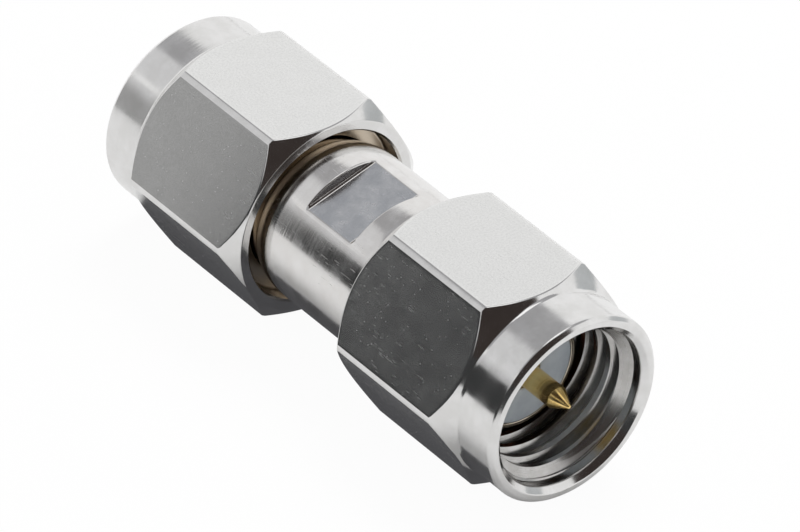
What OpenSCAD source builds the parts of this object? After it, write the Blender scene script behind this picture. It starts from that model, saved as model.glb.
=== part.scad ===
// Coaxial plug-to-plug adapter of the 1/4-36 threaded microwave size.
// One turned body carries a double-ended contact pin in two dielectric sleeves.
// A hexagonal coupling nut turns freely on each end, held on by a split snap ring.
// The axis of the connector is X, the origin is at the middle of the body, and +Z is up.
// It lies on one flat of each hexagon. Millimetres.

/* [Body] */
// Length of the barrel between its two shouldered ends
barrel_len = 6.7; // [5.6:0.1:9]
// Diameter of the barrel
barrel_d = 6.56; // [6.2:0.02:6.8]
// Distance across the two wrench flats milled on the barrel
flat_across = 5.64; // [5.2:0.02:6]
// Length of each wrench flat along the axis
flat_len = 2.6; // [1.6:0.1:4]
// Turn of the wrench flats about the axis, from level, in degrees
flat_turn = 15; // [0:1:60]
// Diameter of the neck that each nut turns on
neck_d = 5.6; // [5.5:0.02:5.8]
// Width of the snap ring groove in each neck
body_groove_w = 0.5; // [0.4:0.02:0.7]
// Depth of the snap ring groove below the neck
body_groove_depth = 0.45; // [0.3:0.01:0.5]
// Length of neck between the groove and the mating shoulder
land_len = 0.9; // [0.5:0.05:1.4]
// Outer diameter of the shell that enters the mating jack
shell_d = 4.59; // [4.5:0.01:4.9]
// Length of the shell beyond the shoulder
shell_len = 2.45; // [1.8:0.05:3.2]
// Width of the small bevels on the body's outer corners
body_bevel = 0.12; // [0.04:0.01:0.2]

/* [Center contact and dielectric] */
// Diameter of the contact rod inside the dielectric
rod_d = 1.27; // [1.1:0.01:1.5]
// Diameter of the collar that traps the rod between the two sleeves
rod_collar_d = 1.9; // [1.6:0.02:2.4]
// Length of that collar
rod_collar_len = 0.8; // [0.4:0.05:1.6]
// Diameter of the pin that stands out at each end
pin_d = 0.91; // [0.8:0.01:1]
// Length of the pin beyond the mating plane, with its point
pin_len = 2.4; // [2:0.05:2.55]
// Length of the pin's cone
pin_cone_len = 0.73; // [0.4:0.01:1]
// Diameter of the blunt end of the cone
pin_end_d = 0.12; // [0.06:0.02:0.3]
// Outer diameter of the dielectric sleeves
dielectric_d = 4.1; // [3.9:0.01:4.2]

/* [Coupling nut] */
// Distance across the flats of the hexagon
hex_across = 8; // [7.92:0.02:8.6]
// Turned diameter that blunts the hexagon's corners
blank_d = 9.1; // [8.9:0.02:9.2]
// Overall length of the nut
nut_len = 8.4; // [7.8:0.05:9.6]
// Length of the round collar at the mouth
collar_len = 1.93; // [1.2:0.01:3]
// Diameter of the collar
collar_d = 7.86; // [7.6:0.02:7.9]
// Diameter of the nut's rear face, where the rear chamfer begins
rear_face_d = 7.76; // [7.6:0.02:7.9]
// Slope of the chamfers at both ends of the hexagon, in degrees
chamfer_angle = 45; // [35:1:55]
// Depth of the open counterbore at the rear of the nut
rear_bore_depth = 1.03; // [0.6:0.01:1.4]
// Length of the inner lip that runs on the neck
lip_len = 0.8; // [0.5:0.05:1.2]
// Depth of the snap ring groove outside the lip's bore
nut_groove_depth = 0.48; // [0.3:0.01:0.6]
// Outer diameter of the thread
thread_d = 6.35; // [6.2:0.01:6.5]
// Bore at the crests of the thread
thread_bore_d = 5.7; // [5.4:0.02:5.9]
// Depth of the plain mouth before the thread
mouth_depth = 0.42; // [0.2:0.01:0.8]
// Width of the bevel round the outside of the mouth
rim_bevel = 0.36; // [0.05:0.01:0.4]
// Width of the bevel round the inside of the mouth
mouth_bevel = 0.17; // [0.05:0.01:0.3]
// Width of the bevel round the inside of the rear counterbore
rear_bevel = 0.08; // [0.02:0.01:0.15]

/* [Snap ring and gasket] */
// Width of the snap ring along the axis
ring_w = 0.4; // [0.3:0.02:0.5]
// Gap between the two ends of the split ring
ring_split = 0.9; // [0.4:0.05:2]
// Thickness of the gasket along the axis
gasket_t = 0.6; // [0.3:0.05:1]
// Wall of the gasket from its hole to its edge
gasket_wall = 0.7; // [0.4:0.02:0.8]

/* [Clearances] */
// Running clearance between the neck and the nut's lip
run_gap = 0.07; // [0.03:0.01:0.1]
// Clearance round the barrel at the nut's rear counterbore
rear_gap = 0.31; // [0.2:0.01:0.4]
// Distance from the barrel's end to the nut's lip
lip_end_gap = 0.55; // [0.3:0.05:1]
// Clearance round the snap ring and beside it in the nut's groove
ring_gap = 0.1; // [0.05:0.01:0.12]
// Clearance from the gasket to the nut, along the axis
gasket_gap = 0.25; // [0.15:0.01:0.4]
// Depth of the relief behind the thread below its outer diameter
relief_gap = 0.08; // [0.04:0.01:0.15]
// Clearance of parts that are pressed or slid together
press_gap = 0.01; // [0.005:0.005:0.02]

/* [Hidden] */

$fn = 96;
// Corner at the top of the hexagon becomes a flat at the top after this turn
hex_turn = 30;
// Small step by which a cut passes the face that it opens
over = 0.1;
// Two cuts and two sides share the same halving of widths and diameters
half = 1 / 2;

// Radii of the body
barrel_r = barrel_d * half;
neck_r = neck_d * half;
shell_r = shell_d * half;
body_groove_r = neck_r - body_groove_depth;
body_bore_r = dielectric_d * half + press_gap;

// Places along the axis of the right side of the body
nut_groove_w = ring_w + 2 * ring_gap;
barrel_end = barrel_len * half;
body_groove_start = barrel_end + lip_end_gap + lip_len + (nut_groove_w - body_groove_w) * half;
body_groove_end = body_groove_start + body_groove_w;
shoulder = body_groove_end + land_len;
mating_plane = shoulder + shell_len;

// Snap ring, centred in both grooves
ring_x = body_groove_start + body_groove_w * half;
ring_in_r = body_groove_r + ring_gap;
lip_r = neck_r + run_gap;
nut_groove_r = lip_r + nut_groove_depth;
ring_out_r = nut_groove_r - press_gap;

// Gasket, seated on the shoulder round the shell
gasket_in_r = shell_r + press_gap;
gasket_out_r = gasket_in_r + gasket_wall;
gasket_end = shoulder + gasket_t;

// Radii of the nut
hex_r = hex_across * half / cos(hex_turn);
blank_r = blank_d * half;
collar_r = collar_d * half;
rear_face_r = rear_face_d * half;
rear_bore_r = barrel_r + rear_gap;
relief_r = thread_d * half + relief_gap;
thread_bore_r = thread_bore_d * half;
mouth_r = thread_d * half + relief_gap * half;

// Places along the axis of the right nut
nut_groove_start = ring_x - nut_groove_w * half;
nut_groove_end = ring_x + nut_groove_w * half;
lip_start = nut_groove_start - lip_len;
nut_rear = lip_start - rear_bore_depth;
nut_front = nut_rear + nut_len;
collar_start = nut_front - collar_len;
relief_start = shoulder - gasket_gap;
relief_end = gasket_end + gasket_gap;
mouth_start = nut_front - mouth_depth;
chamfer_slope = tan(chamfer_angle);

// Colours of the finished metals and plastics
body_color = [0.78, 0.75, 0.70];
nut_color = [0.74, 0.74, 0.74];
ring_color = [0.72, 0.58, 0.36];
gold_color = [0.90, 0.70, 0.28];
dielectric_color = [0.90, 0.92, 0.95];
gasket_color = [0.62, 0.24, 0.16];

// Solid of revolution about the X axis from an outline of [place along the axis, radius] points
module turned(outline) {
    rotate([0, 90, 0])
        rotate_extrude()
            polygon([for (p = outline) [p[1], p[0]]]);
}

// The same piece turned end for end
module left_side() {
    mirror([1, 0, 0]) children();
}

// One solid end of the body, from the middle out to the mating plane
module body_end() {
    turned([
        [0, 0],
        [0, barrel_r],
        [barrel_end - body_bevel, barrel_r],
        [barrel_end, barrel_r - body_bevel],
        [barrel_end, neck_r],
        [body_groove_start, neck_r],
        [body_groove_start, body_groove_r],
        [body_groove_end, body_groove_r],
        [body_groove_end, neck_r],
        [shoulder - body_bevel, neck_r],
        [shoulder, neck_r - body_bevel],
        [shoulder, shell_r],
        [mating_plane - body_bevel, shell_r],
        [mating_plane, shell_r - body_bevel],
        [mating_plane, 0]
    ]);
}

// Slab that mills one wrench flat across the top of the barrel
module wrench_flat_cut() {
    translate([-flat_len * half, -barrel_r, flat_across * half])
        cube([flat_len, barrel_d, barrel_r]);
}

module body() {
    color(body_color)
        difference() {
            union() {
                body_end();
                left_side() body_end();
            }
            turned([
                [-mating_plane - over, 0],
                [-mating_plane - over, body_bore_r],
                [mating_plane + over, body_bore_r],
                [mating_plane + over, 0]
            ]);
            for (side = [0, 180])
                rotate([flat_turn + side, 0, 0])
                    wrench_flat_cut();
        }
}

// One turned pin with a point at each end and a collar in the middle
module contact_end() {
    turned([
        [0, 0],
        [0, rod_collar_d * half],
        [rod_collar_len * half, rod_collar_d * half],
        [rod_collar_len * half, rod_d * half],
        [mating_plane, rod_d * half],
        [mating_plane, pin_d * half],
        [mating_plane + pin_len - pin_cone_len, pin_d * half],
        [mating_plane + pin_len, pin_end_d * half],
        [mating_plane + pin_len, 0]
    ]);
}

module center_contact() {
    color(gold_color)
        union() {
            contact_end();
            left_side() contact_end();
        }
}

// Sleeve from the contact's collar to the mating plane, with a pocket that takes half of the collar
module dielectric() {
    color(dielectric_color)
        turned([
            [press_gap, rod_collar_d * half + press_gap],
            [press_gap, dielectric_d * half],
            [mating_plane, dielectric_d * half],
            [mating_plane, rod_d * half + press_gap],
            [rod_collar_len * half + press_gap, rod_d * half + press_gap],
            [rod_collar_len * half + press_gap, rod_collar_d * half + press_gap]
        ]);
}

module right_dielectric() {
    dielectric();
}

module left_dielectric() {
    left_side() dielectric();
}

// Soft washer round the shell that the mating jack is tightened against
module gasket() {
    color(gasket_color)
        turned([
            [shoulder, gasket_in_r],
            [shoulder, gasket_out_r],
            [gasket_end, gasket_out_r],
            [gasket_end, gasket_in_r]
        ]);
}

module right_gasket() {
    gasket();
}

module left_gasket() {
    left_side() gasket();
}

// Split spring ring that locks the nut to the neck
module snap_ring() {
    color(ring_color)
        difference() {
            turned([
                [ring_x - ring_w * half, ring_in_r],
                [ring_x - ring_w * half, ring_out_r],
                [ring_x + ring_w * half, ring_out_r],
                [ring_x + ring_w * half, ring_in_r]
            ]);
            translate([ring_x - ring_w, -ring_split * half, 0])
                cube([2 * ring_w, ring_split, 2 * ring_out_r]);
        }
}

module right_snap_ring() {
    snap_ring();
}

module left_snap_ring() {
    left_side() snap_ring();
}

// Length of hexagonal bar that the nut is turned from
module hex_bar() {
    translate([nut_rear, 0, 0])
        rotate([0, 90, 0])
            rotate(hex_turn)
                cylinder(h = nut_len, r = hex_r, $fn = 6);
}

// Outline that turning leaves: chamfered rear, blunted corners, chamfered front and round collar
module nut_turning() {
    turned([
        [nut_rear, 0],
        [nut_rear, rear_face_r],
        [nut_rear + (blank_r - rear_face_r) * chamfer_slope, blank_r],
        [collar_start - (blank_r - collar_r) * chamfer_slope, blank_r],
        [collar_start, collar_r],
        [nut_front - rim_bevel, collar_r],
        [nut_front, collar_r - rim_bevel],
        [nut_front, 0]
    ]);
}

// Everything bored out of the nut, from its rear counterbore to its mouth
module nut_bore() {
    turned([
        [nut_rear - over, 0],
        [nut_rear - over, rear_bore_r + rear_bevel + over],
        [nut_rear + rear_bevel, rear_bore_r],
        [lip_start, rear_bore_r],
        [lip_start, lip_r],
        [nut_groove_start, lip_r],
        [nut_groove_start, nut_groove_r],
        [nut_groove_end, nut_groove_r],
        [nut_groove_end, lip_r],
        [relief_start, lip_r],
        [relief_start, relief_r],
        [relief_end, relief_r],
        [relief_end + relief_r - thread_bore_r, thread_bore_r],
        [mouth_start - mouth_r + thread_bore_r, thread_bore_r],
        [mouth_start, mouth_r],
        [nut_front - mouth_bevel, mouth_r],
        [nut_front + over, mouth_r + mouth_bevel + over],
        [nut_front + over, 0]
    ]);
}

module coupling_nut() {
    color(nut_color)
        difference() {
            intersection() {
                hex_bar();
                nut_turning();
            }
            nut_bore();
        }
}

module right_coupling_nut() {
    coupling_nut();
}

module left_coupling_nut() {
    left_side() coupling_nut();
}

body();
center_contact();
right_dielectric();
left_dielectric();
right_gasket();
left_gasket();
right_snap_ring();
left_snap_ring();
right_coupling_nut();
left_coupling_nut();
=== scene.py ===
# %% [markdown]
# # A plug-to-plug coaxial adapter on a white table
# The adapter is a short turned body with a gold contact through its middle. At each end a
# hexagonal coupling nut turns freely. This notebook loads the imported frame, sets the camera and
# the light, makes each piece at its true size, gives it a finish, and lets it ride on its body.

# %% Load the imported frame
import math
import bpy
from mathutils import Matrix, Vector


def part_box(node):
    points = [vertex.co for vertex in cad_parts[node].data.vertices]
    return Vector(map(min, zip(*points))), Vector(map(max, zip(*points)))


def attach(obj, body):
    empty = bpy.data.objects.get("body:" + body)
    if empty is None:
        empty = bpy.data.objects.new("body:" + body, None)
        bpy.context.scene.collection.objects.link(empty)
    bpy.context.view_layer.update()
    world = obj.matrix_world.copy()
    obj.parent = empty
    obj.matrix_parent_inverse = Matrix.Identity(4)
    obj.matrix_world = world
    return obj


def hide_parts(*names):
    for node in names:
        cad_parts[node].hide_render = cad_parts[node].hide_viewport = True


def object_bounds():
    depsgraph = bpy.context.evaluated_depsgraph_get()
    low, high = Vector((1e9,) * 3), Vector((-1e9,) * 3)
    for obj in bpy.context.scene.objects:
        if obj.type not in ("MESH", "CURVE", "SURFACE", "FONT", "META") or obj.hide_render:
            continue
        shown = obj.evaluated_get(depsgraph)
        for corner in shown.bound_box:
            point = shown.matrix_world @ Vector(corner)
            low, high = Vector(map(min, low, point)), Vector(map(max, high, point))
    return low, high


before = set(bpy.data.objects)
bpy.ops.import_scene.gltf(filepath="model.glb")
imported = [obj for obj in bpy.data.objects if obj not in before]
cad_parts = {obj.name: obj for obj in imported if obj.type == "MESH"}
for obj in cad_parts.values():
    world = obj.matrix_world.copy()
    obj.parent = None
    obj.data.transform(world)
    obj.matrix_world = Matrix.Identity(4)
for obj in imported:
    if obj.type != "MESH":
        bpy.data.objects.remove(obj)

MM = 0.001
cad_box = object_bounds()


def in_mm(lengths, digits=2):
    """Lengths in metres as rounded millimetres, for printing."""
    return [round(length / MM, digits) for length in lengths]


print("frame from", in_mm(cad_box[0]), "to", in_mm(cad_box[1]), "mm")

# %% [markdown]
# ## Camera
# A long lens from well above keeps the two nuts nearly the same size and their edges nearly
# parallel. The camera is placed by the direction that it looks back along, and turned about that
# direction by a small roll. An empty and a Track To constraint would also aim it, but a matrix
# built from three directions says exactly where it stands.

# %% Camera
AZIMUTH, ELEVATION, ROLL = math.radians(49.41), math.radians(37.24), math.radians(2.98)
AIM = Vector((0.752, 0.540, -0.289)) * MM
DISTANCE = 301.99 * MM
LENS, SENSOR = 375.5, 36

across = math.cos(ELEVATION)
back = Vector((math.sin(AZIMUTH) * across, -math.cos(AZIMUTH) * across, math.sin(ELEVATION)))
level = Vector((math.cos(AZIMUTH), math.sin(AZIMUTH), 0))
upright = back.cross(level)
right = level * math.cos(ROLL) + upright * math.sin(ROLL)
up = back.cross(right)

bpy.ops.object.camera_add()
camera = bpy.context.object
camera.name = "camera"
camera.data.lens, camera.data.sensor_width = LENS, SENSOR
camera.data.clip_start, camera.data.clip_end = 0.01, 10
stand = Matrix((right, up, back)).transposed().to_4x4()
stand.translation = AIM + back * DISTANCE
camera.matrix_world = stand
bpy.context.scene.camera = camera
print("camera stands at", in_mm(stand.translation, 1), "mm")

# %% [markdown]
# ## Nodes in few words
# Every finish below is made of shader nodes. A few helpers keep the cells short. An input that is
# given an output socket is linked to it, and anything else is set as the input's own value, so one
# call makes a node and says all about it. In the node editor the same links are drawn by hand.

# %% Node helpers
def feed(tree, socket, value):
    """Links an input to an output socket, or sets the input's own value."""
    if isinstance(value, bpy.types.NodeSocket):
        tree.links.new(value, socket)
    else:
        socket.default_value = value


def add(tree, kind, inputs=None, **settings):
    """Adds a node of that kind, sets its properties, and feeds its inputs."""
    node = tree.nodes.new("ShaderNode" + kind)
    for name, value in settings.items():
        setattr(node, name, value)
    for key, value in (inputs or {}).items():
        feed(tree, node.inputs[key], value)
    return node


def math_of(tree, operation, a, b=0.0, c=0.0, clamp=False):
    """One Math node, as an output socket."""
    return add(tree, "Math", {0: a, 1: b, 2: c}, operation=operation, use_clamp=clamp).outputs[0]


def remap(tree, value, low, high, to_low=0.0, to_high=1.0):
    """A soft step from one range to another, as an output socket."""
    inputs = {"Value": value, "From Min": low, "From Max": high, "To Min": to_low, "To Max": to_high}
    return add(tree, "MapRange", inputs, interpolation_type="SMOOTHSTEP").outputs["Result"]


def blend_colors(tree, mask, a, b):
    """Mixes two colours by a mask, as an output socket. Inputs 6 and 7 and output 2 hold colours."""
    return add(tree, "Mix", {0: mask, 6: a, 7: b}, data_type="RGBA").outputs[2]


def new_material(name):
    """An empty node material, its tree and its output node."""
    material = bpy.data.materials.new(name)
    material.use_nodes = True
    material.node_tree.nodes.clear()
    return material, material.node_tree, add(material.node_tree, "OutputMaterial")


print("node helpers: feed, add, math_of, remap, blend_colors, new_material")

# %% [markdown]
# ## The white table
# The adapter lies on a white sweep. The floor is a real matt surface, so it takes the soft shadow
# under the nuts, and part of its white is a plain glow that only the camera, gloss and glass see.
# More light would also whiten it, but would burn out the metal. The share is large for the camera,
# so the floor reads as white, and small for gloss, so that the undersides of the nuts still mirror
# the shade beneath them.

# %% Floor
FLOOR = cad_box[0].z
FLOOR_SIZE = 3
CAMERA_SHARE, GLOSS_SHARE = 0.96, 0.06

bpy.ops.mesh.primitive_plane_add(size=FLOOR_SIZE, location=(0, 0, FLOOR))
floor = bpy.context.object
floor.name = "floor"

paper, tree, output = new_material("white_paper")
rays = add(tree, "LightPath").outputs
straight = math_of(tree, "ADD", rays["Is Camera Ray"], rays["Is Transmission Ray"])
straight = math_of(tree, "MULTIPLY", straight, CAMERA_SHARE)
share = math_of(tree, "MULTIPLY_ADD", rays["Is Glossy Ray"], GLOSS_SHARE, straight)
matt = add(tree, "BsdfDiffuse", {"Color": (0.9, 0.9, 0.9, 1)})
glow = add(tree, "Emission", {"Color": (1, 1, 1, 1), "Strength": 1.0})
both = add(tree, "MixShader", {0: share, 1: matt.outputs[0], 2: glow.outputs[0]})
feed(tree, output.inputs["Surface"], both.outputs[0])
floor.data.materials.append(paper)
print("floor at", in_mm([FLOOR]), "mm")

# %% [markdown]
# ## World and lamp
# White surroundings light everything evenly, and the camera sees them at full white. Several lamps
# could do as much, but each would leave its own shadow. One large soft lamp above adds a little
# direction. Gloss doesn't see it, because what the metal mirrors is set by cards in the next step.

# %% World
SURROUNDINGS = 0.55

world = bpy.data.worlds.new("white_room")
bpy.context.scene.world = world
world.use_nodes = True
world.node_tree.nodes.clear()
tree = world.node_tree
rays = add(tree, "LightPath").outputs
shown = math_of(tree, "ADD", rays["Is Glossy Ray"], rays["Is Transmission Ray"])
shown = math_of(tree, "ADD", rays["Is Camera Ray"], shown, clamp=True)
lighting = add(tree, "Background", {"Color": (1, 1, 1, 1), "Strength": SURROUNDINGS})
backdrop = add(tree, "Background", {"Color": (1, 1, 1, 1), "Strength": 1.0})
both = add(tree, "MixShader", {0: shown, 1: lighting.outputs[0], 2: backdrop.outputs[0]})
feed(tree, add(tree, "OutputWorld").inputs["Surface"], both.outputs[0])
bpy.context.scene.view_settings.view_transform = "Standard"
print("world", world.name, "lights at", SURROUNDINGS)

# %% Soft lamp
LAMP_PLACE = (-0.06, 0.14, 0.28)
LAMP_SIZE, LAMP_ENERGY = 0.16, 0.62

bpy.ops.object.light_add(type="AREA", location=LAMP_PLACE)
lamp = bpy.context.object
lamp.name = "soft_lamp"
lamp.data.shape = "SQUARE"
lamp.data.size = LAMP_SIZE
lamp.data.energy = LAMP_ENERGY
lamp.rotation_euler = (-Vector(lamp.location)).to_track_quat("-Z", "Y").to_euler()
lamp.visible_glossy = False
print("lamp stands at", in_mm(LAMP_PLACE, 0), "mm")

# %% [markdown]
# ## Cards for the metal to mirror
# Polished metal is only as good as what stands round it. In a studio, cards are stood about the
# table: grey overhead with two soft lights in it, a pale room in front that brightens upwards, black
# close by and round the lens, and a grey one behind for the chamfers. The dark strip underneath is
# a painted shade: it stands for the floor's shadow under the part, which the lower flats mirror. A
# picture of a room, wrapped round the world, would serve too, but cards can be moved one by one.
# Each is a plane that only gloss sees, so it adds no shadow and no light to matt surfaces, and the
# camera never meets it.

# %% Card helper
def card(name, middle, size, color, facing=(0, 0, 0), round_card=False, top_color=None):
    """A card, in millimetres, that faces a point. A top colour makes it fade upwards."""
    middle = Vector(middle)
    turn = (Vector(facing) - middle).to_track_quat("Z", "Y").to_euler()
    place = {"location": middle * MM, "rotation": turn}
    if round_card:
        bpy.ops.mesh.primitive_circle_add(vertices=96, radius=0.5, fill_type="NGON", **place)
    else:
        bpy.ops.mesh.primitive_plane_add(size=1, **place)
    plane = bpy.context.object
    plane.name = name
    plane.scale = (size[0] * MM, size[1] * MM, 1)

    material, tree, output = new_material(name)
    shine = (*color, 1)
    if top_color:
        height = add(tree, "SeparateXYZ", {0: add(tree, "TexCoord").outputs["Generated"]}).outputs[1]
        shine = blend_colors(tree, remap(tree, height, 0.45, 1.0), shine, (*top_color, 1))
    light = add(tree, "Emission", {"Color": shine, "Strength": 1.0})
    feed(tree, output.inputs["Surface"], light.outputs[0])
    plane.data.materials.append(material)
    for seen_by in ("camera", "diffuse", "shadow", "transmission"):
        setattr(plane, "visible_" + seen_by, False)
    print(name, size, "mm")

# %% Cards
card("card_overhead", (0, 0, 250), (510, 510), (0.42, 0.42, 0.43), round_card=True)
card("card_soft_light", (-149, -107, 170), (150, 95), (0.76, 0.76, 0.77))
card("card_top_light", (14, 30, 235), (150, 120), (1.25, 1.25, 1.25))
card("card_behind", (82, 250, 36), (150, 76), (0.55, 0.57, 0.58))
card("card_room", (-30, -260, 100), (800, 210), (0.40, 0.40, 0.40), facing=(-30, 0, 100),
     top_color=(0.75, 0.75, 0.76))
card("card_black_near", (24.2, -40, 8), (111.6, 25), (0.043, 0.044, 0.045), facing=(24.2, 0, 8))
card("card_camera", (163, -46, 102), (320, 320), (0.045, 0.036, 0.033), round_card=True)
# painted shade: a dark strip under the part, mirrored by the lower flats as the floor's shadow
card("painted_shade_beneath", (-0.9, 0, FLOOR / MM + 0.02), (20.5, 8.6), (0.08, 0.08, 0.085), facing=(-0.9, 0, 100))

# %% [markdown]
# ## Selecting in code
# Modelling by hand is mostly selecting and then using one tool. In a script nothing is clicked, so
# vertices, edges and faces are picked by a small test of their place or normal. The selection has
# to be set in object mode and used in edit mode, and one helper does both. The pieces are shaped in
# millimetres, where bevels and merging distances are easy to judge.

# %% Selecting helpers
NEAR = 1e-4


def only(piece):
    """Object mode, with this piece alone selected and active, or nothing selected for None."""
    if bpy.context.object and bpy.context.object.mode != "OBJECT":
        bpy.ops.object.mode_set(mode="OBJECT")
    bpy.ops.object.select_all(action="DESELECT")
    if piece:
        bpy.context.view_layer.objects.active = piece
        piece.select_set(True)


def edit(piece, select="DESELECT"):
    """Edit mode on one piece, with all or nothing of its mesh selected."""
    only(piece)
    bpy.ops.object.mode_set(mode="EDIT")
    bpy.ops.mesh.select_mode(type="VERT")
    bpy.ops.mesh.select_all(action=select)


def pick(piece, kind, test):
    """Edit mode on one piece, with just those of its vertices, edges or faces that pass a test."""
    edit(piece)
    bpy.ops.mesh.select_mode(type=kind)
    bpy.ops.object.mode_set(mode="OBJECT")
    mesh = piece.data
    for part in {"VERT": mesh.vertices, "EDGE": mesh.edges, "FACE": mesh.polygons}[kind]:
        part.select = test(part)
    bpy.ops.object.mode_set(mode="EDIT")


def ends(piece, edge):
    """The places of an edge's two ends."""
    return [piece.data.vertices[i].co for i in edge.vertices]


def from_axis(point):
    """How far a point lies from the X axis, about which everything is turned."""
    return Vector((0, point.y, point.z)).length


print("places nearer than", NEAR, "mm count as one")

# %% [markdown]
# ## A lathe
# Nearly every piece here comes off a lathe, so nearly every one starts as half of its section,
# drawn in the XZ plane and spun round the X axis. The Screw modifier could turn it too, but spin
# leaves a plain mesh that the next tool can cut. The section is drawn as by hand: one point, then
# an edge extruded to the next. Its corners are rounded before it is spun, because one bevelled
# vertex becomes a bevelled edge all the way round.

# %% Section, corners and spin
def outline(name, points):
    """Draws a filled section through [place along X, radius] points, one extruded edge at a time."""
    only(None)
    bpy.ops.mesh.primitive_plane_add(size=1)
    piece = bpy.context.object
    piece.name = piece.data.name = name
    edit(piece, "SELECT")
    bpy.ops.mesh.merge(type="CENTER")
    bpy.ops.transform.translate(value=(points[0][0], 0, points[0][1]))
    for (x0, r0), (x1, r1) in zip(points, points[1:]):
        bpy.ops.mesh.extrude_region_move(TRANSFORM_OT_translate={"value": (x1 - x0, 0, r1 - r0)})
    bpy.ops.mesh.select_all(action="SELECT")
    bpy.ops.mesh.edge_face_add()
    bpy.ops.object.mode_set(mode="OBJECT")
    return piece


def round_corners(piece, corners, segments=3):
    """Rounds corners of a section, each given as its [place, radius] and the width of its bevel."""
    for (x, r), width in corners:
        pick(piece, "VERT", lambda v: abs(v.co.x - x) < NEAR and abs(v.co.z - r) < NEAR)
        bpy.ops.mesh.bevel(affect="VERTICES", offset=width, segments=segments)
        bpy.ops.object.mode_set(mode="OBJECT")


def close_up(piece):
    """Merges doubled points and turns the faces outwards."""
    bpy.ops.mesh.select_all(action="SELECT")
    bpy.ops.mesh.remove_doubles(threshold=NEAR)
    bpy.ops.mesh.normals_make_consistent(inside=False)
    bpy.ops.object.mode_set(mode="OBJECT")


def turn_on_lathe(piece, steps=144):
    """Spins a section about the X axis into a closed solid. An edge on the axis itself goes first."""
    edit(piece, "SELECT")
    bpy.ops.mesh.delete(type="ONLY_FACE")
    pick(piece, "EDGE", lambda e: all(abs(co.z) < NEAR for co in ends(piece, e)))
    bpy.ops.mesh.delete(type="EDGE")
    edit(piece, "SELECT")
    bpy.ops.mesh.spin(steps=steps, angle=2 * math.pi, center=(0, 0, 0), axis=(1, 0, 0))
    close_up(piece)
    print(piece.name, "turned,", len(piece.data.polygons), "faces", [round(d, 2) for d in piece.dimensions])

# %% [markdown]
# ## Coupling nut
# The nut is cut from hexagonal bar. The lathe leaves a chamfer at both ends of the hexagon, a round
# collar at the mouth, a counterbore at the rear, a lip that runs on the neck with a groove for the
# snap ring, a relief, and the bore for the thread. A stack of cylinders could be joined and cut,
# but one closed section gives all of that at once and leaves no seam.

# %% Nut: sizes
nut_low, nut_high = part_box("right_coupling_nut")
NUT_REAR, NUT_FRONT = nut_low.x / MM, nut_high.x / MM
FLAT = nut_high.z / MM
COLLAR_R, BLANK_R, REAR_FACE_R = 3.83, 4.55, 3.95
COLLAR_START = NUT_FRONT - 1.89
LIP_START, LIP_R = 3.70, 2.87
REAR_BORE_R, REAR_BREAK = 3.53, 0.08
GROOVE, GROOVE_R = (4.7, 5.3), 3.35
RELIEF, RELIEF_R = (5.9, 7.0), 3.255
CREST_R, MOUTH_R, MOUTH_START = 2.85, 3.215, 10.69
RIM, MOUTH_BEVEL = 0.17, 0.24
print("nut from", round(NUT_REAR, 2), "to", round(NUT_FRONT, 2), "mm,", round(2 * FLAT, 2), "mm across flats")

# %% Nut: section
rear_edge = (NUT_REAR, REAR_FACE_R)
collar_foot = (COLLAR_START, COLLAR_R)
rim_outside, rim_inside = (NUT_FRONT - RIM, COLLAR_R), (NUT_FRONT, COLLAR_R - RIM)
mouth_outside, mouth_inside = (NUT_FRONT, MOUTH_R + MOUTH_BEVEL), (NUT_FRONT - MOUTH_BEVEL, MOUTH_R)
lip_edge, counterbore_foot = (LIP_START, LIP_R), (LIP_START, REAR_BORE_R)

nut_right = outline("nut_right", [
    (NUT_REAR, REAR_BORE_R + REAR_BREAK), rear_edge,
    (NUT_REAR + BLANK_R - REAR_FACE_R, BLANK_R), (COLLAR_START - (BLANK_R - COLLAR_R), BLANK_R),
    collar_foot, rim_outside, rim_inside, mouth_outside, mouth_inside,
    (MOUTH_START, MOUTH_R), (MOUTH_START - MOUTH_R + CREST_R, CREST_R),
    (RELIEF[1] + RELIEF_R - CREST_R, CREST_R), (RELIEF[1], RELIEF_R), (RELIEF[0], RELIEF_R),
    (RELIEF[0], LIP_R), (GROOVE[1], LIP_R), (GROOVE[1], GROOVE_R), (GROOVE[0], GROOVE_R),
    (GROOVE[0], LIP_R), lip_edge, counterbore_foot, (NUT_REAR + REAR_BREAK, REAR_BORE_R),
])
round_corners(nut_right, (
    (rear_edge, 0.04), (collar_foot, 0.08), (rim_outside, 0.05), (rim_inside, 0.05),
    (mouth_outside, 0.04), (mouth_inside, 0.05), (counterbore_foot, 0.12), (lip_edge, 0.06),
))
turn_on_lathe(nut_right)

# %% [markdown]
# The six flats are what is left of the bar. Bisect slices one off at a time and fills its cut,
# where a boolean with a hexagonal prism would need a second object. The chamfers leave their arcs
# on the flats by themselves, and the thin bands between the flats are the bar's blunted corners.

# %% Nut: six flats
for side in range(6):
    angle = math.radians(30 + 60 * side)
    normal = Vector((0, math.cos(angle), math.sin(angle)))
    edit(nut_right, "SELECT")
    bpy.ops.mesh.bisect(plane_co=normal * FLAT, plane_no=normal, use_fill=True, clear_outer=True)
bpy.ops.object.mode_set(mode="OBJECT")


def is_flat(face):
    """One of the six flats of the hexagon, which are the only large faces that lie level."""
    return abs(face.normal.x) < 0.01 and face.area > 5


print("flats", [round(f.area, 1) for f in nut_right.data.polygons if is_flat(f)], "mm2")

# %% [markdown]
# The edges of the flats aren't knife sharp: tumbling rounds them a little, and that rounding is
# what catches the light. A Bevel modifier would soften every edge, so only those round the flats
# are selected and bevelled.

# %% Nut: softened edges
FLAT_EDGE = 0.035

pick(nut_right, "FACE", is_flat)
bpy.ops.mesh.region_to_loop()
bpy.ops.mesh.bevel(offset=FLAT_EDGE, segments=2, profile=0.5, clamp_overlap=True)
bpy.ops.object.mode_set(mode="OBJECT")
print("after bevel", len(nut_right.data.polygons), "faces")

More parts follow.
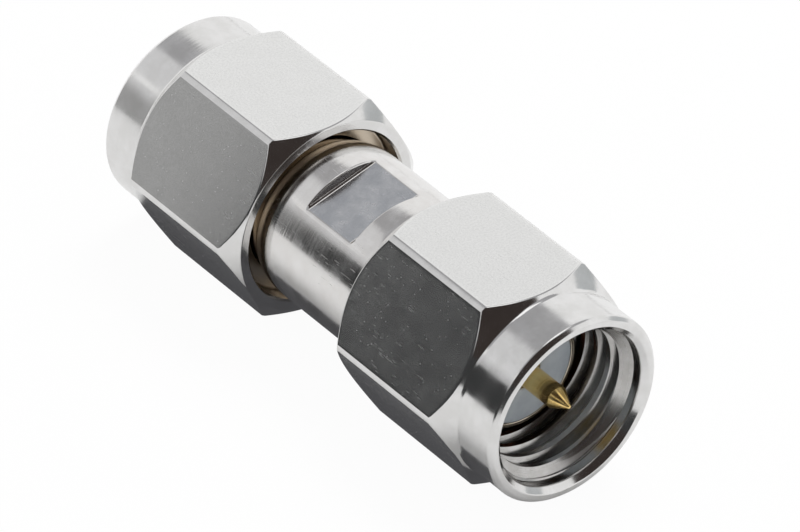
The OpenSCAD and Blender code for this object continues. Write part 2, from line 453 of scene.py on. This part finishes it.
# %% [markdown]
# The thread is a sixty-degree V cut 36 times an inch. A bump could fake it, but the mouth is wide
# open and its edges have to show. A helix of one blunt triangle, made by the Screw modifier, is the
# tool that cuts it, as a threading bar would. It starts in the relief and runs out into the plain
# mouth, so the ends of the tool cut nothing.

# %% Thread helpers
def apply_modifier(piece, kind, **settings):
    """Adds a modifier with its settings and applies it."""
    only(piece)
    modifier = piece.modifiers.new(kind.lower(), kind)
    for name, value in settings.items():
        setattr(modifier, name, value)
    bpy.ops.object.modifier_apply(modifier=modifier.name)


def cut_away(piece, tool):
    """Cuts a closed tool out of a piece and removes the tool."""
    apply_modifier(piece, "BOOLEAN", operation="DIFFERENCE", object=tool, solver="EXACT")
    bpy.data.objects.remove(tool)
    print(piece.name, "cut,", len(piece.data.polygons), "faces")

# %% Nut: thread
PITCH, TURNS = 25.4 / 36, 6
THREAD_START, THREAD_ROOT_R = 6.72, 3.195
TOOL_HALF, TOOL_TIP_HALF, TOOL_SINK = 0.30, 0.04, 0.10

cutter = outline("thread_cutter", [
    (THREAD_START - TOOL_HALF, CREST_R - TOOL_SINK), (THREAD_START + TOOL_HALF, CREST_R - TOOL_SINK),
    (THREAD_START + TOOL_TIP_HALF, THREAD_ROOT_R), (THREAD_START - TOOL_TIP_HALF, THREAD_ROOT_R),
])
edit(cutter, "SELECT")
bpy.ops.mesh.delete(type="ONLY_FACE")
apply_modifier(cutter, "SCREW", axis="X", angle=2 * math.pi, screw_offset=PITCH, iterations=TURNS,
               steps=144, render_steps=144, use_merge_vertices=True, merge_threshold=NEAR)
edit(cutter)
bpy.ops.mesh.select_non_manifold()
bpy.ops.mesh.edge_face_add()
bpy.ops.mesh.select_all(action="SELECT")
bpy.ops.mesh.fill_holes(sides=4)
bpy.ops.mesh.normals_make_consistent(inside=False)
bpy.ops.object.mode_set(mode="OBJECT")
print("cutter", len(cutter.data.polygons), "faces", [round(d, 2) for d in cutter.dimensions])
cut_away(nut_right, cutter)

# %% [markdown]
# Turned faces should shade smoothly and milled ones flat. Smoothing by angle tells them apart, and
# weighted normals let the large faces win over the narrow bevels beside them. The chamfer cones
# are met by the corner strips at a low angle, so their edges are marked sharp as well, or the
# corners would smear light along them.

# %% Nut: shading
SMOOTH_WITHIN = math.radians(35)


def smooth(piece, mark_sharp=None):
    """Smooth shading within an angle, with flat faces kept flat by weighted normals."""
    only(piece)
    bpy.ops.object.shade_smooth_by_angle(angle=SMOOTH_WITHIN)
    if mark_sharp:
        mark_sharp(piece)
    apply_modifier(piece, "WEIGHTED_NORMAL", mode="FACE_AREA", keep_sharp=True)
    print(piece.name, "shaded,", sum(e.use_edge_sharp for e in piece.data.edges), "sharp edges")


def crisp_cones(piece):
    """Marks the edges round the two chamfer cones, which slope at 45 degrees, as sharp."""
    beside = {}
    for face in piece.data.polygons:
        for key in face.edge_keys:
            beside.setdefault(key, []).append(abs(abs(face.normal.x) - math.sqrt(0.5)) < 0.01)
    for e in piece.data.edges:
        if sum(beside[e.key]) == 1:
            e.use_edge_sharp = True


smooth(nut_right, crisp_cones)

# %% [markdown]
# ## Body
# The body joins the two ends. In the middle is a barrel with a gentle crown, and beyond it the
# necks that the nuts run on, the snap ring grooves, and the shells that mate. It is symmetrical, so
# only half of its section is spun, and a Mirror modifier makes the other end exactly alike.

# %% Body: section
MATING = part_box("body")[1].x / MM
BARREL_R, BARREL_END, BARREL_END_R = 3.22, 3.31, 2.91
CROWN = [(2.1, BARREL_R), (2.35, 3.21), (2.6, 3.18), (2.85, 3.125), (3.05, 3.055), (3.2, 2.985)]
NECK_R, RING_FLOOR_R, SHELL_R, BORE_R = 2.8, 2.35, 2.295, 2.06
BODY_GROOVE, SHOULDER = (4.75, 5.25), 6.15


def mirror_half(piece):
    """Opens a turned half at the middle and mirrors it to the other end."""
    pick(piece, "FACE", lambda face: abs(face.center.x) < NEAR)
    bpy.ops.mesh.delete(type="FACE")
    apply_modifier(piece, "MIRROR", use_axis=(True, False, False), use_clip=True, merge_threshold=1e-3)


body = outline("adapter_body", [
    (0, BARREL_R), *CROWN, (BARREL_END, BARREL_END_R), (BARREL_END, NECK_R), (BODY_GROOVE[0], NECK_R),
    (BODY_GROOVE[0], RING_FLOOR_R), (BODY_GROOVE[1], RING_FLOOR_R), (BODY_GROOVE[1], NECK_R),
    (SHOULDER, NECK_R), (SHOULDER, SHELL_R), (MATING, SHELL_R), (MATING, BORE_R), (0, BORE_R),
])
round_corners(body, (
    ((BARREL_END, BARREL_END_R), 0.06), ((SHOULDER, NECK_R), 0.12),
    ((MATING, SHELL_R), 0.12), ((MATING, BORE_R), 0.04),
))
turn_on_lathe(body)
mirror_half(body)

# %% [markdown]
# A wrench holds the barrel by two milled flats, a little turned from upright. Pushing points down
# to a plane would dent the mesh, so each flat is cut by a slab whose two lower cross edges are
# rounded. That leaves the small round that a milling cutter leaves at the foot of its end walls.

# %% Body: wrench flats
FLAT_LEN, FLAT_R, FLAT_TURN = 2.6, 2.77, math.radians(15)
SLAB_WIDTH, SLAB_HEIGHT, FOOT_ROUND = 8, 2, 0.12

for turned in (FLAT_TURN, FLAT_TURN + math.pi):
    only(None)
    bpy.ops.mesh.primitive_cube_add(size=1, location=(0, 0, FLAT_R + SLAB_HEIGHT / 2),
                                    scale=(FLAT_LEN, SLAB_WIDTH, SLAB_HEIGHT))
    slab = bpy.context.object
    bpy.ops.object.transform_apply(location=True, rotation=False, scale=True)
    pick(slab, "EDGE", lambda e: all(abs(co.z - FLAT_R) < NEAR for co in ends(slab, e))
         and abs(sum(co.x for co in ends(slab, e))) > 1)
    bpy.ops.mesh.bevel(offset=FOOT_ROUND, segments=4, profile=0.5)
    bpy.ops.object.mode_set(mode="OBJECT")
    slab.rotation_euler = (turned, 0, 0)
    bpy.ops.object.transform_apply(location=False, rotation=True, scale=False)
    cut_away(body, slab)

# %% [markdown]
# Handling has worn the rim of each recess, so the loop round it is bevelled too. A vertex bevel
# would miss the crescent where the flat runs out into the round barrel.

# %% Body: rim of the recess
RECESS_EDGE = 0.07


def on_wrench_flat(face):
    """One of the two milled flats on the barrel."""
    normal = Vector((0, -math.sin(FLAT_TURN), math.cos(FLAT_TURN)))
    return abs(abs(face.normal.dot(normal)) - 1) < 1e-3 and face.area > 1


def in_milled_recess(face):
    """A flat, its end walls and the small round at their foot."""
    between_walls = abs(face.center.x) < FLAT_LEN / 2 + 0.001
    return between_walls and FLAT_R - 0.01 < from_axis(face.center) < BARREL_R - 0.003


pick(body, "FACE", in_milled_recess)
bpy.ops.mesh.region_to_loop()
bpy.ops.mesh.bevel(offset=RECESS_EDGE, segments=3, profile=0.5, clamp_overlap=False)
bpy.ops.object.mode_set(mode="OBJECT")
smooth(body)

# %% [markdown]
# ## Contact
# One gold-plated rod runs through the whole adapter. It is thickest in the middle, where a collar
# holds it, and thins to a pin with a cone and a small blunt point at both ends. Three cylinders and
# a cone would leave joints, so it is turned as one half and mirrored, like the body.

# %% Contact
ROD_R, PIN_R, TIP_R = 0.635, 0.455, 0.06
ROD_COLLAR_HALF, ROD_COLLAR_R = 0.4, 0.95
CONE_START, TIP = MATING + 1.67, MATING + 2.4

contact = outline("gold_contact", [
    (0, 0), (0, ROD_COLLAR_R), (ROD_COLLAR_HALF, ROD_COLLAR_R), (ROD_COLLAR_HALF, ROD_R),
    (MATING, ROD_R), (MATING, PIN_R), (CONE_START, PIN_R), (TIP, TIP_R), (TIP, 0),
])
round_corners(contact, (((MATING, ROD_R), 0.04), ((CONE_START, PIN_R), 0.05), ((TIP, TIP_R), 0.03)))
turn_on_lathe(contact, 96)
mirror_half(contact)
smooth(contact)

# %% [markdown]
# ## Sleeves and gaskets
# A white plastic sleeve keeps the contact in the middle of each shell. It is bored to clear the rod
# and its collar. A rubber gasket sits on the shoulder round each shell. A tube made by Solidify
# would do for either, but a spun section also gives the steps in the bore.

# %% Sleeve
SLEEVE_R, CLEAR = 2.05, 0.01

sleeve_right = outline("sleeve_right", [
    (CLEAR, ROD_COLLAR_R + CLEAR), (CLEAR, SLEEVE_R), (MATING, SLEEVE_R), (MATING, ROD_R + CLEAR),
    (ROD_COLLAR_HALF + CLEAR, ROD_R + CLEAR), (ROD_COLLAR_HALF + CLEAR, ROD_COLLAR_R + CLEAR),
])
round_corners(sleeve_right, (((MATING, SLEEVE_R), 0.05), ((MATING, ROD_R + CLEAR), 0.05)))
turn_on_lathe(sleeve_right, 96)
smooth(sleeve_right)

# %% Gasket
GASKET_IN, GASKET_OUT, GASKET_END = 2.305, 3.005, SHOULDER + 0.6

gasket_right = outline("gasket_right", [
    (SHOULDER, GASKET_IN), (SHOULDER, GASKET_OUT), (GASKET_END, GASKET_OUT), (GASKET_END, GASKET_IN),
])
round_corners(gasket_right, (((GASKET_END, GASKET_OUT), 0.08), ((GASKET_END, GASKET_IN), 0.08)))
turn_on_lathe(gasket_right, 96)
smooth(gasket_right)

# %% [markdown]
# ## Snap rings
# A flat bronze ring sits half in the neck's groove and half in the nut's, and holds the nut on. It
# is split so that it can spring. Cutting a gap in a whole ring would take a tool, so its section is
# turned to one side of the gap and spun only part of the way round.

# %% Snap ring
RING_START, RING_END = 4.8, 5.2
RING_IN, RING_OUT, HALF_SPLIT = 2.45, 3.34, 0.45

split_angle = math.asin(HALF_SPLIT / RING_OUT)
ring_right = outline("ring_right", [
    (RING_START, RING_IN), (RING_START, RING_OUT), (RING_END, RING_OUT), (RING_END, RING_IN),
])
round_corners(ring_right, (((RING_START, RING_OUT), 0.05), ((RING_END, RING_OUT), 0.05)), segments=2)
edit(ring_right, "SELECT")
bpy.ops.transform.rotate(value=split_angle, orient_axis="X", center_override=(0, 0, 0))
bpy.ops.mesh.spin(steps=90, angle=2 * math.pi - 2 * split_angle, center=(0, 0, 0), axis=(1, 0, 0),
                  use_auto_merge=False)
close_up(ring_right)
smooth(ring_right)

# %% [markdown]
# ## The other end
# The far end has the same nut, sleeve, gasket and ring. Each is copied with its own mesh and turned
# half a turn about Z. A mirror would be quicker, but it would make the thread left-handed.

# %% Far end
def copy_turned(piece, name):
    """A second piece with its own mesh, turned end for end about the Z axis."""
    twin = piece.copy()
    twin.data = piece.data.copy()
    twin.name = twin.data.name = name
    bpy.context.scene.collection.objects.link(twin)
    only(twin)
    twin.rotation_euler = (0, 0, math.pi)
    bpy.ops.object.transform_apply(location=False, rotation=True, scale=False)
    return twin


nut_left = copy_turned(nut_right, "nut_left")
sleeve_left = copy_turned(sleeve_right, "sleeve_left")
gasket_left = copy_turned(gasket_right, "gasket_left")
ring_left = copy_turned(ring_right, "ring_left")
print("far end from", round(min(v.co.x for v in nut_left.data.vertices), 2), "mm")

# %% [markdown]
# ## Shared effects
# Four effects make bare metal look made: turning marks, a satin grain, short scratches and rubbed
# edges. Each is a node group, built once, that puts out only masks and heights, and each finish
# uses it with its own numbers. Image textures could do the same, but these follow the metal at any
# distance and need no unwrapping.

# %% Effect helpers
def new_group(name, inputs, outputs):
    """A shader node group with named sockets: its tree, its inputs and its outputs to be fed."""
    group = bpy.data.node_groups.new(name, "ShaderNodeTree")
    for socket, kind, value in inputs:
        made = group.interface.new_socket(name=socket, in_out="INPUT", socket_type="NodeSocket" + kind)
        if value is not None:
            made.default_value = value
    for socket in outputs:
        group.interface.new_socket(name=socket, in_out="OUTPUT", socket_type="NodeSocketFloat")
    print("group", name, "gives", outputs)
    return group, group.nodes.new("NodeGroupInput").outputs, group.nodes.new("NodeGroupOutput").inputs


def millimetres(tree, place):
    """A place in metres, as one in millimetres."""
    return add(tree, "VectorMath", {0: place, 3: 1 / MM}, operation="SCALE").outputs[0]


def split(tree, vector):
    """The X, Y and Z of a vector."""
    return list(add(tree, "SeparateXYZ", {0: vector}).outputs)


def radius_of(tree, y, z):
    """The distance from the X axis."""
    squares = math_of(tree, "ADD", math_of(tree, "MULTIPLY", y, y), math_of(tree, "MULTIPLY", z, z))
    return math_of(tree, "SQRT", squares)


def noise(tree, vector, scale, detail, roughness=0.5):
    """A noise texture, as an output socket."""
    inputs = {"Vector": vector, "Scale": scale, "Detail": detail, "Roughness": roughness}
    return add(tree, "TexNoise", inputs).outputs[0]

# %% [markdown]
# Turning leaves fine rings. They follow the place along the axis on a cylinder and the radius on a
# face, so noise is read at those two, and only slowly round the axis, where a real ring wanders.
# A wave texture would be too even. A second, much wider noise gives bands of changing smoothness.

# %% Turning marks
WANDER, WIDE_BANDS = 0.4, 0.17

turning, given, gives = new_group("turning_marks", [("Place", "Vector", None), ("Lines", "Float", 12.0)],
                                  ["Height", "Bands"])
x, y, z = split(turning, millimetres(turning, given["Place"]))
ring = add(turning, "CombineXYZ", {
    0: math_of(turning, "MULTIPLY", x, given["Lines"]),
    1: math_of(turning, "MULTIPLY", radius_of(turning, y, z), given["Lines"]),
    2: math_of(turning, "MULTIPLY", math_of(turning, "ARCTAN2", z, y), WANDER),
}).outputs[0]
feed(turning, gives["Height"], noise(turning, ring, 1.0, 2.0, 0.6))
feed(turning, gives["Bands"], noise(turning, ring, WIDE_BANDS, 1.0))

# %% [markdown]
# Tumbling and handling leave a satin grain: a fine height, a broad mottle, and small pits. The pits
# are the middles of Voronoi cells, and a level on each cell's own random colour leaves most cells
# without one, because a pit in every cell would look like a printed pattern.

# %% Satin grain
PIT_CELLS, PIT_EDGE, PIT_CHANCE = 8.0, (0.2, 0.08), (0.70, 0.95)

grain, given, gives = new_group("satin_grain", [("Place", "Vector", None), ("Fineness", "Float", 14.0)],
                                ["Height", "Mottle", "Pits"])
scaled = millimetres(grain, given["Place"])
cells = add(grain, "TexVoronoi", {"Vector": scaled, "Scale": PIT_CELLS, "Randomness": 1.0}).outputs
chance = add(grain, "SeparateColor", {0: cells["Color"]}).outputs[0]
chance = remap(grain, chance, *PIT_CHANCE)
pits = math_of(grain, "MULTIPLY", remap(grain, cells["Distance"], *PIT_EDGE), chance)
feed(grain, gives["Height"], noise(grain, scaled, given["Fineness"], 3.0, 0.65))
feed(grain, gives["Mottle"], noise(grain, scaled, 1.3, 3.0, 0.6))
feed(grain, gives["Pits"], pits)

# %% [markdown]
# Use leaves short scratches in any direction. Noise that is stretched one way gives streaks, and
# only its peaks are kept, so they stay short and thin. Three directions are laid over each other,
# and a slow noise gathers them in places, as real wear is gathered. Drawn lines would repeat.

# %% Scratches
HAIR_SHAPE, HAIR_PEAKS, WORN_PLACES = (1.8, 22.0, 22.0), (0.765, 0.84), (0.42, 0.62)

scratch, given, gives = new_group("fine_scratches", [("Place", "Vector", None), ("Density", "Float", 0.5)],
                                  ["Mask"])
scaled = millimetres(scratch, given["Place"])
hairs = []
for turn, shift in (((0.5, 0.9, 0.3), 3.0), ((-0.8, 0.4, 1.9), 11.0), ((1.6, -0.5, 0.8), 23.0)):
    stretched = add(scratch, "Mapping", {
        "Vector": scaled, "Location": (shift, shift, shift), "Rotation": turn, "Scale": HAIR_SHAPE,
    }).outputs[0]
    hairs.append(remap(scratch, noise(scratch, stretched, 1.0, 0.0), *HAIR_PEAKS))
most = math_of(scratch, "MAXIMUM", math_of(scratch, "MAXIMUM", hairs[0], hairs[1]), hairs[2])
where = remap(scratch, noise(scratch, scaled, 0.45, 1.0), *WORN_PLACES)
where = math_of(scratch, "MULTIPLY", where, given["Density"])
feed(scratch, gives["Mask"], math_of(scratch, "MULTIPLY", most, where))

# %% [markdown]
# Handling rubs the edges of the hexagon bright. How near a point lies to an edge follows from its
# place alone: to the arcs by the two chamfer cones, and to the corners by its radius. That is
# steadier than reading the mesh for its edges. Noise makes the width of the worn strip uneven.

# %% Hexagon wear
CORNER_WEIGHT, LEAST_REACH = 2.0, 0.4

wear, given, gives = new_group("hexagon_wear", [("Place", "Vector", None), ("Width", "Float", 0.12)],
                               ["Mask"])
scaled = millimetres(wear, given["Place"])
x, y, z = split(wear, scaled)
along, radius = math_of(wear, "ABSOLUTE", x), radius_of(wear, y, z)
to_rear = math_of(wear, "SUBTRACT", math_of(wear, "ADD", along, REAR_FACE_R - NUT_REAR), radius)
to_front = math_of(wear, "SUBTRACT", math_of(wear, "SUBTRACT", COLLAR_START + COLLAR_R, along), radius)
to_corner = math_of(wear, "MULTIPLY", math_of(wear, "SUBTRACT", BLANK_R, radius), CORNER_WEIGHT)
nearest = math_of(wear, "MINIMUM", math_of(wear, "MINIMUM", to_rear, to_front), to_corner)
reach = math_of(wear, "ADD", noise(wear, scaled, 3.0, 3.0), LEAST_REACH)
reach = math_of(wear, "MULTIPLY", given["Width"], reach)
feed(wear, gives["Mask"], remap(wear, math_of(wear, "DIVIDE", nearest, reach), 1.0, 0.0))

# %% [markdown]
# ## Bare metal
# Steel and nickel have no colour of their own but what they mirror, so the finish is in the
# roughness and the bump. A Principled BSDF at full metallic does this, and its colour is how much
# it mirrors. A Glossy BSDF could do as well, but the Principled one also serves the plastic and the
# rubber. All bumps are a fiftieth of a millimetre deep at most, which is what a lathe leaves.

# %% Finish helpers
BUMP_DEPTH = 0.02 * MM


def new_finish(name, metallic=1.0):
    """A material with a Principled BSDF: itself, its tree, its shader and the piece's own place."""
    material, tree, output = new_material(name)
    shader = add(tree, "BsdfPrincipled", {"Metallic": metallic})
    feed(tree, output.inputs["Surface"], shader.outputs[0])
    print("finish", name, end=" ")
    return material, tree, shader, add(tree, "TexCoord").outputs["Object"]


def use(tree, group, **inputs):
    """Places a shared effect in a material and returns what it gives."""
    node = tree.nodes.new("ShaderNodeGroup")
    node.node_tree = group
    for key, value in inputs.items():
        feed(tree, node.inputs[key], value)
    return node.outputs


def tinted(tree, mask, levels, low_color, high_color):
    """A colour that goes from one to another as a mask goes through its levels."""
    return blend_colors(tree, remap(tree, mask, *levels), (*low_color, 1), (*high_color, 1))


def plus(tree, base, mask, share):
    """A value with a share of a mask added."""
    return math_of(tree, "ADD", base, math_of(tree, "MULTIPLY", mask, share))


def dress(tree, shader, color, roughness, height, strength):
    """Feeds a shader its colour, its roughness and a bump."""
    feed(tree, shader.inputs["Base Color"], color)
    feed(tree, shader.inputs["Roughness"], roughness)
    bump = add(tree, "Bump", {"Strength": strength, "Distance": BUMP_DEPTH, "Height": height})
    feed(tree, shader.inputs["Normal"], bump.outputs[0])
    print("of", len(tree.nodes), "nodes")

# %% [markdown]
# The collar, the chamfers and the rim of the nut are turned and polished, so they are the
# smoothest. Bands of roughness follow the turning, and the bump is faint: a strong one would break
# up the clean reflections of the cards.

# %% Turned steel
turned_steel, tree, shader, place = new_finish("turned_steel")
marks = use(tree, turning, Place=place, Lines=11.0)
worn = use(tree, scratch, Place=place, Density=0.5)
skin = use(tree, grain, Place=place, Fineness=6.0)
tint = tinted(tree, skin["Mottle"], (0.35, 0.7), (0.70, 0.695, 0.685), (0.76, 0.755, 0.75))
rough = plus(tree, remap(tree, marks["Bands"], 0.3, 0.7, 0.12, 0.17), worn["Mask"], 0.15)
dress(tree, shader, tint, rough, plus(tree, marks["Height"], skin["Height"], 0.4), 0.06)

# %% [markdown]
# The six flats keep the skin of the bar, so they are satin, with a fine dark grain, small bright
# pits and scratches. Rubbed edges are smoother than the rest. Roughness alone would give the satin,
# but not the grain that shows close up.

# %% Satin flats
satin_steel, tree, shader, place = new_finish("satin_steel")
skin = use(tree, grain, Place=place, Fineness=12.0)
worn = use(tree, scratch, Place=place, Density=0.6)
rubbed = use(tree, wear, Place=place, Width=0.16)
tint = tinted(tree, skin["Mottle"], (0.3, 0.7), (0.77, 0.77, 0.76), (0.80, 0.80, 0.79))
tint = blend_colors(tree, remap(tree, skin["Height"], 0.35, 0.6, 0.16, 0.0), tint, (0.42, 0.42, 0.42, 1))
tint = blend_colors(tree, skin["Pits"], tint, (0.88, 0.88, 0.88, 1))
marred = math_of(tree, "ADD", worn["Mask"], skin["Pits"], clamp=True)
rough = plus(tree, remap(tree, skin["Mottle"], 0.25, 0.75, 0.20, 0.23), marred, 0.12)
rough = plus(tree, rough, rubbed["Mask"], -0.10)
height = math_of(tree, "SUBTRACT", math_of(tree, "MULTIPLY", skin["Height"], 0.8),
                 math_of(tree, "ADD", worn["Mask"], skin["Pits"]))
dress(tree, shader, tint, rough, height, 0.08)

# %% [markdown]
# Inside the nut the thread is bare and a little darker, because no tumbling reaches it. Its turning
# marks are closer together and deeper than those outside.

# %% Threaded bore
threaded_steel, tree, shader, place = new_finish("threaded_steel")
marks = use(tree, turning, Place=place, Lines=16.0)
skin = use(tree, grain, Place=place, Fineness=8.0)
tint = tinted(tree, skin["Mottle"], (0.35, 0.7), (0.46, 0.45, 0.435), (0.56, 0.55, 0.54))
dress(tree, shader, tint, remap(tree, marks["Bands"], 0.3, 0.7, 0.16, 0.28), marks["Height"], 0.15)

# %% [markdown]
# The body is nickel plated, a trace warmer than steel. Beyond the barrel, towards each nut, the
# colour goes to a dull brown. A second material would leave a hard line there, so the colour blends
# along the axis within the one finish.

# %% Nickel body
BROWN_FROM, BROWN_FULL = 2.4, 3.2

nickel, tree, shader, place = new_finish("turned_nickel")
marks = use(tree, turning, Place=place, Lines=9.0)
skin = use(tree, grain, Place=place, Fineness=10.0)
worn = use(tree, scratch, Place=place, Density=1.0)
along = math_of(tree, "ABSOLUTE", split(tree, millimetres(tree, place))[0])
tint = tinted(tree, skin["Mottle"], (0.35, 0.7), (0.72, 0.705, 0.69), (0.78, 0.77, 0.76))
# the colour goes to a dull brown beyond the barrel, from the end of its crown outwards
brown_ends = remap(tree, along, BROWN_FROM, BROWN_FULL)
tint = blend_colors(tree, brown_ends, tint, (0.58, 0.51, 0.42, 1))
rough = plus(tree, remap(tree, skin["Mottle"], 0.3, 0.7, 0.13, 0.2), worn["Mask"], 0.2)
dress(tree, shader, tint, rough, math_of(tree, "ADD", marks["Height"], skin["Pits"]), 0.10)

# %% [markdown]
# The wrench flats are milled and have been gripped, so they are the most scratched. Their colour
# is a little blue, a painted reflection of the bluish light the flats mirror. They have no turning
# marks, only the grain and its pits.

# %% Milled wrench flat
milled, tree, shader, place = new_finish("milled_nickel")
skin = use(tree, grain, Place=place, Fineness=9.0)
worn = use(tree, scratch, Place=place, Density=1.0)
# painted reflection: the flat's colour is tinted blue for the bluish light it mirrors
tint = tinted(tree, skin["Mottle"], (0.35, 0.7), (0.62, 0.64, 0.67), (0.70, 0.71, 0.73))
rough = plus(tree, remap(tree, skin["Mottle"], 0.3, 0.7, 0.2, 0.28), worn["Mask"], 0.2)
dress(tree, shader, tint, rough, math_of(tree, "SUBTRACT", skin["Height"], skin["Pits"]), 0.15)

# %% [markdown]
# ## Gold, bronze and the dull bore
# The plated contact, the snap rings and the nut's rear counterbore are all plain turned metal, and
# differ in colour and smoothness only. One helper makes the three, so they stay alike where the
# real ones are.

# %% Gold, bronze and dull bore
BAND_LEVELS = (0.3, 0.7)


def banded_metal(name, lines, low_color, high_color, smoothest, roughest, strength):
    """A turned metal whose colour and roughness both follow its bands."""
    material, tree, shader, place = new_finish(name)
    marks = use(tree, turning, Place=place, Lines=lines)
    tint = tinted(tree, marks["Bands"], BAND_LEVELS, low_color, high_color)
    rough = remap(tree, marks["Bands"], *BAND_LEVELS, smoothest, roughest)
    dress(tree, shader, tint, rough, marks["Height"], strength)
    return material


gold = banded_metal("turned_gold", 14.0, (0.86, 0.60, 0.22), (0.93, 0.71, 0.30), 0.14, 0.22, 0.12)
bronze = banded_metal("turned_bronze", 8.0, (0.55, 0.38, 0.20), (0.68, 0.50, 0.30), 0.25, 0.35, 0.12)
dull_bore = banded_metal("dull_bore", 10.0, (0.60, 0.52, 0.42), (0.70, 0.62, 0.51), 0.28, 0.36, 0.10)

# %% [markdown]
# ## Plastic and rubber
# The sleeves are white plastic with faint turning marks on their ends. Their colour is painted
# bluish grey: a painted shade for how the white plastic reads deep in the shell. The gaskets are
# moulded from red silicone rubber, which is matt and grainy. Neither is a metal, so the metallic
# socket is at nought, and a plain colour would look like paint, so a mottle varies both.

# %% Sleeve plastic
dielectric, tree, shader, place = new_finish("sleeve_painted_shade", 0.0)
marks = use(tree, turning, Place=place, Lines=7.0)
skin = use(tree, grain, Place=place, Fineness=7.0)
# painted shade: the white plastic is coloured bluish grey, as it reads in the shade deep in the shell
tint = tinted(tree, skin["Mottle"], (0.3, 0.7), (0.48, 0.53, 0.58), (0.56, 0.61, 0.65))
dress(tree, shader, tint, remap(tree, marks["Bands"], 0.3, 0.7, 0.35, 0.5), marks["Height"], 0.15)

# %% Gasket rubber
rubber, tree, shader, place = new_finish("moulded_rubber", 0.0)
skin = use(tree, grain, Place=place, Fineness=12.0)
tint = tinted(tree, skin["Mottle"], (0.3, 0.7), (0.34, 0.10, 0.06), (0.42, 0.14, 0.08))
dress(tree, shader, tint, remap(tree, skin["Height"], 0.3, 0.7, 0.55, 0.75), skin["Height"], 0.3)

# %% [markdown]
# ## Which finish goes where
# A piece may carry more than one finish. The faces could be split into separate objects, but the
# nut is one piece of steel, so they stay together and are told apart by their own shape: a flat of
# the hexagon is level and large, and the thread is whatever lies within the nut's wall.

# %% Finishes on the pieces
THREAD_WITHIN, PLAIN_END = 3.4, 0.2


def nut_finish(face):
    """1 for a flat, 2 for the threaded bore, 3 for the rear counterbore and lip, 0 elsewhere."""
    along, out = abs(face.center.x), from_axis(face.center)
    if is_flat(face):
        return 1
    if out < THREAD_WITHIN and RELIEF[0] < along < NUT_FRONT - PLAIN_END:
        return 2
    if out < REAR_BORE_R + 0.01 and along < RELIEF[0]:
        return 3
    return 0


def paint(piece, finishes, choose):
    """Gives a piece its materials, and each face the number that choose() gives."""
    for material in finishes:
        piece.data.materials.append(material)
    for face in piece.data.polygons:
        face.material_index = choose(face)
    counts = [sum(f.material_index == i for f in piece.data.polygons) for i in range(len(finishes))]
    print(piece.name, dict(zip([m.name for m in finishes], counts)))


for nut in (nut_right, nut_left):
    paint(nut, (turned_steel, satin_steel, threaded_steel, dull_bore), nut_finish)
paint(body, (nickel, milled), lambda face: int(on_wrench_flat(face)))
for material, pieces in (
    (gold, [contact]), (dielectric, [sleeve_right, sleeve_left]),
    (rubber, [gasket_right, gasket_left]), (bronze, [ring_right, ring_left]),
):
    for piece in pieces:
        paint(piece, [material], lambda face: 0)

# %% [markdown]
# ## Riding
# Each nut turns with its snap ring, and all the rest stands still. A parent or a constraint could
# carry a piece, but the frame has its own bodies, so each piece is brought to metres, takes the
# place of the solid it stands for, which is hidden, and rides on that solid's body.

# %% Pieces on their bodies
def finish_piece(piece, node, body):
    """Brings a finished piece to metres, hides its CAD node, and ties it to a body."""
    only(piece)
    piece.scale = (MM, MM, MM)
    bpy.ops.object.transform_apply(location=False, rotation=False, scale=True)
    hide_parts(node)
    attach(piece, body)
    low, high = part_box(node)
    print(piece.name, len(piece.data.polygons), "faces", in_mm(piece.dimensions), "in", in_mm(high - low))


for piece, node, on, slot in (
    (nut_right, "right_coupling_nut", "right_nut", "nut_steel"),
    (nut_left, "left_coupling_nut", "left_nut", "nut_steel"),
    (ring_right, "right_snap_ring", "right_nut", "ring_bronze"),
    (ring_left, "left_snap_ring", "left_nut", "ring_bronze"),
    (body, "body", "body", "body_nickel"),
    (contact, "center_contact", "body", "contact_gold"),
    (sleeve_right, "right_dielectric", "body", "dielectric_white"),
    (sleeve_left, "left_dielectric", "body", "dielectric_white"),
    (gasket_right, "right_gasket", "body", "gasket_rubber"),
    (gasket_left, "left_gasket", "body", "gasket_rubber"),
):
    finish_piece(piece, node, on)

# %% [markdown]
# ## Sizes
# The box of the CAD model is printed. Each piece's size was printed beside its CAD part's as it was finished.

# %% Sizes and finish
print("CAD box", in_mm(cad_box[0]), in_mm(cad_box[1]))
